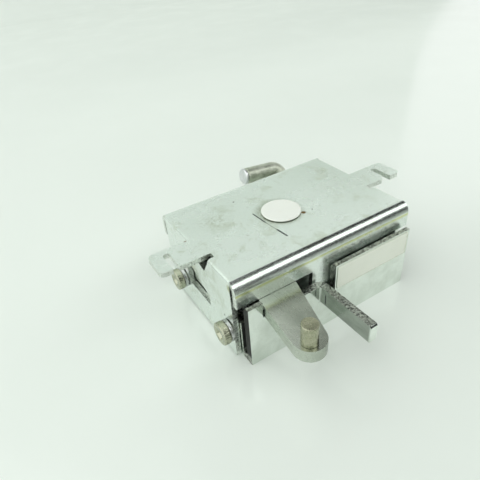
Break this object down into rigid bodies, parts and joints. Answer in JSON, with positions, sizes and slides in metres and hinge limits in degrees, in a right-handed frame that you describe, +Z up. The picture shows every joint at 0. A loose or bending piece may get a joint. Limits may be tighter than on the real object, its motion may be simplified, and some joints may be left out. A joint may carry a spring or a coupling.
{
  "type": "pneumatic gripper",
  "caption": "Sheet-metal pneumatic gripper with a pin on a swinging finger, a fixed jaw bar, slotted hook tabs at the ends and a bent air inlet pipe.",
  "frame": {"origin": "centre of the tray's flat underside, where it rests", "axes": "+X along the box towards the end next to the inlet fitting, +Y from the finger side to the inlet side, +Z up out of the underside"},
  "size_m": [0.1134, 0.1019, 0.0367],
  "materials": {
    "zinc_sheet": "zinc-plated sheet, satin, faint green-yellow stains",
    "tray_steel": "zinc-plated thick sheet, satin, rough sheared edges",
    "finger_steel": "ground flat steel plate",
    "bright_steel": "turned steel",
    "spring_steel": "drawn wire",
    "screw_zinc": "yellowish zinc plate, satin",
    "brassy_steel": "yellow-tinted plated pin, polished by use",
    "inlet_brass": "tarnished brass",
    "bronze": "sintered bronze",
    "aluminium": "machined, satin",
    "rubber": "matt black",
    "white_plastic": "white moulded plastic",
    "label_paper": "cream sticker, blank"
  },
  "bodies": {
    "base": {"base_tray": "tray_steel", "cover": "zinc_sheet", "centre_plug": "white_plastic", "label": "label_paper", "cap_screw_left_front": "screw_zinc", "cap_screw_left_rear": "screw_zinc", "cap_screw_right_front": "screw_zinc", "cap_screw_right_rear": "screw_zinc", "lock_washer_left_front": "bright_steel", "lock_washer_left_rear": "bright_steel", "lock_washer_right_front": "bright_steel", "lock_washer_right_rear": "bright_steel", "pivot_post": "bright_steel", "pivot_spacer": "bright_steel", "lever_washer": "bright_steel", "pivot_clip": "spring_steel", "spring_anchor": "bright_steel", "return_spring": "spring_steel", "cylinder_tube": "aluminium", "cylinder_front_cap": "aluminium", "cylinder_rear_cap": "aluminium", "rod_seal": "rubber", "cylinder_mount": "aluminium", "mount_screw_front": "screw_zinc", "mount_screw_rear": "screw_zinc", "inlet_fitting": "inlet_brass", "air_inlet_pipe": "inlet_brass", "pipe_plug": "aluminium"},
    "lever": {"lever": "finger_steel", "lever_bush": "bronze", "grip_pin": "brassy_steel", "spring_stud": "bright_steel"},
    "rod": {"piston": "aluminium", "piston_seal": "rubber", "piston_nut": "bright_steel", "piston_rod": "bright_steel", "rod_clevis": "bright_steel", "clevis_pin": "bright_steel"}
  },
  "joints": [
    {"name": "lever_swing", "type": "hinge", "parent": "base", "child": "lever", "pos_m": [-0.018, 0.00175, 0.0233], "axis": [0, 0, 1], "range_deg": [0, 14], "stiffness_Nm_per_rad": 0.11, "springref_deg": -34.38, "deforming": ["return_spring"]},
    {"name": "rod_stroke", "type": "slide", "parent": "base", "child": "rod", "axis": [-1, 0, 0], "range_m": [0, 0.0041]}
  ],
  "couplings": [
    {"joint": "rod_stroke", "follows": "lever_swing", "m_per_rad": 0.016326}
  ]
}
